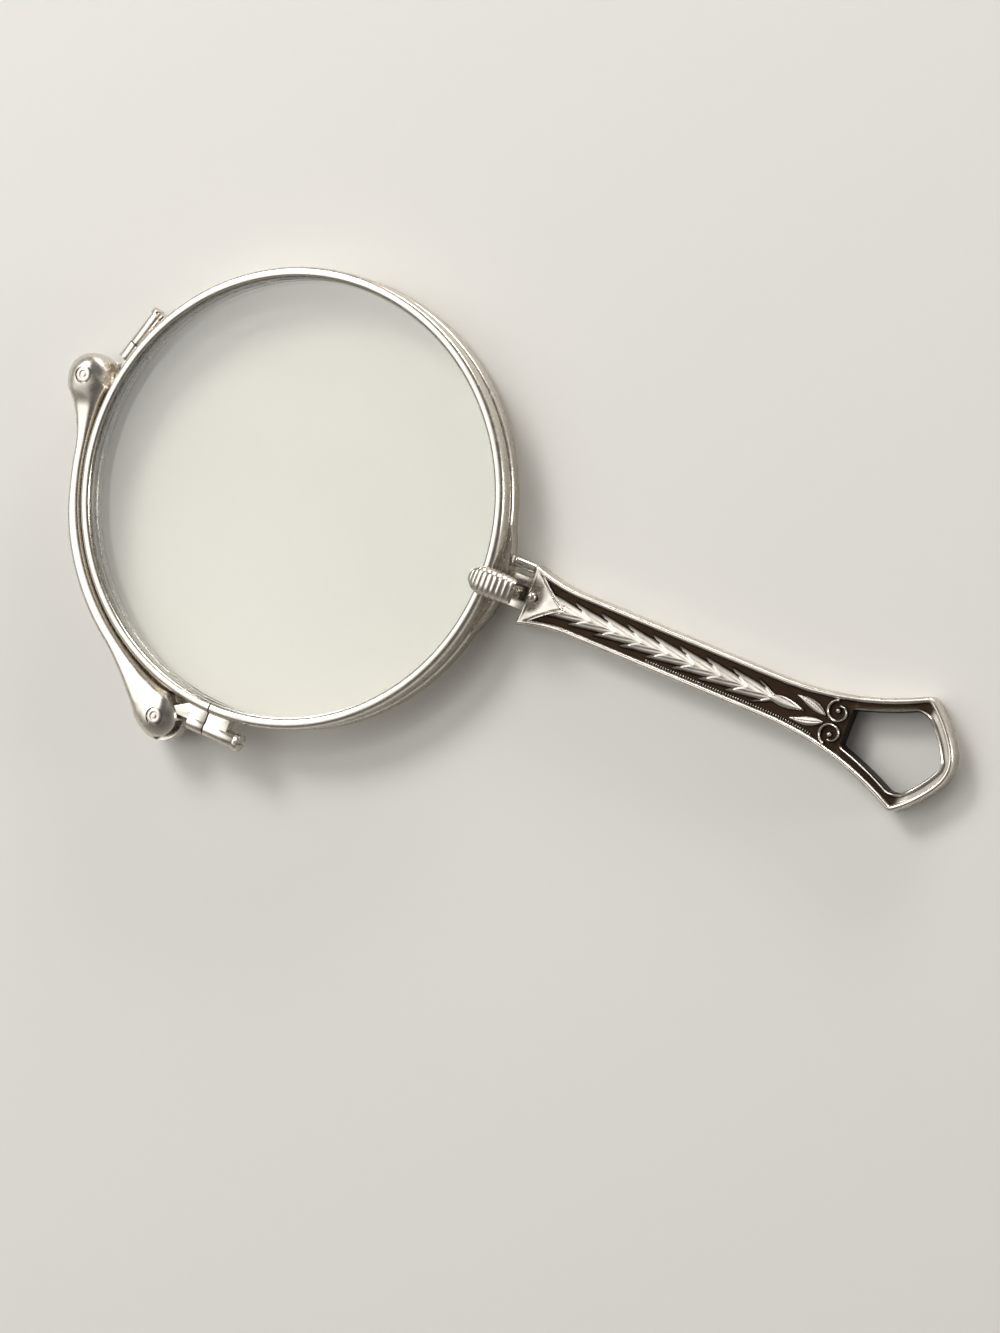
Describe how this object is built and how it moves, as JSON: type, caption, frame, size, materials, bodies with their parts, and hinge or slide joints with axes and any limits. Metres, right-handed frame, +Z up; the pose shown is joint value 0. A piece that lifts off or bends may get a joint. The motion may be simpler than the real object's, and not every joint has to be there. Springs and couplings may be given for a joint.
{
  "type": "folding lorgnette",
  "caption": "Hand-held folding eyeglasses: two round lenses stacked on a sprung bridge, with a catch, an ornamented handle and an end loop.",
  "frame": {"origin": "on the surface it lies on, where the line of sight through the centres of the two folded lenses meets it", "axes": "+X along the handle to its loop, +Z up through the lenses from the back to the front eyewire, +Y to the left of the handle seen from the front"},
  "size_m": [0.09, 0.0456, 0.0065],
  "materials": {
    "silver": "hand-worn silver, softly polished on the high spots and darker in the hollows",
    "steel": "bright drawn spring steel",
    "lens_glass": "clear polished glass"
  },
  "bodies": {
    "back_frame": {"back_lens": "lens_glass", "back_eyewire": "silver", "back_hinge_block": "silver", "back_closing_tube": "silver", "back_closing_screw": "silver", "saddle": "silver", "throat_block": "silver", "stop_arm": "silver", "catch_pin": "steel", "catch_spring": "steel", "handle_front_shell": "silver", "handle_back_shell": "silver", "throat_rivet": "silver", "handle_loop": "silver"},
    "bridge": {"bridge_bar": "silver", "top_knuckle_cap": "silver", "bottom_knuckle_cap": "silver", "top_pivot_pin": "silver", "bottom_pivot_pin": "silver", "top_torsion_spring": "steel", "bottom_torsion_spring": "steel"},
    "front_frame": {"front_lens": "lens_glass", "front_eyewire": "silver", "front_hinge_block": "silver", "front_closing_tube": "silver", "front_closing_screw": "silver"},
    "catch": {"catch_lever": "silver", "thumb_piece": "silver"}
  },
  "joints": [
    {"name": "bridge_swing", "type": "hinge", "parent": "back_frame", "child": "bridge", "pos_m": [-0.02307, 0.00324, 0.00245], "axis": [0, 0, 1], "range_deg": [-86.5, 0]},
    {"name": "front_lens_swing", "type": "hinge", "parent": "bridge", "child": "front_frame", "pos_m": [-0.00465, -0.02283, 0.00245], "axis": [0, 0, 1], "range_deg": [-86.5, 0]},
    {"name": "catch_tilt", "type": "hinge", "parent": "back_frame", "child": "catch", "pos_m": [0.02245, 0, 0.0013], "axis": [0, 1, 0], "range_deg": [-5, 8]}
  ],
  "couplings": [
    {"joint": "front_lens_swing", "follows": "bridge_swing", "ratio": 1}
  ]
}
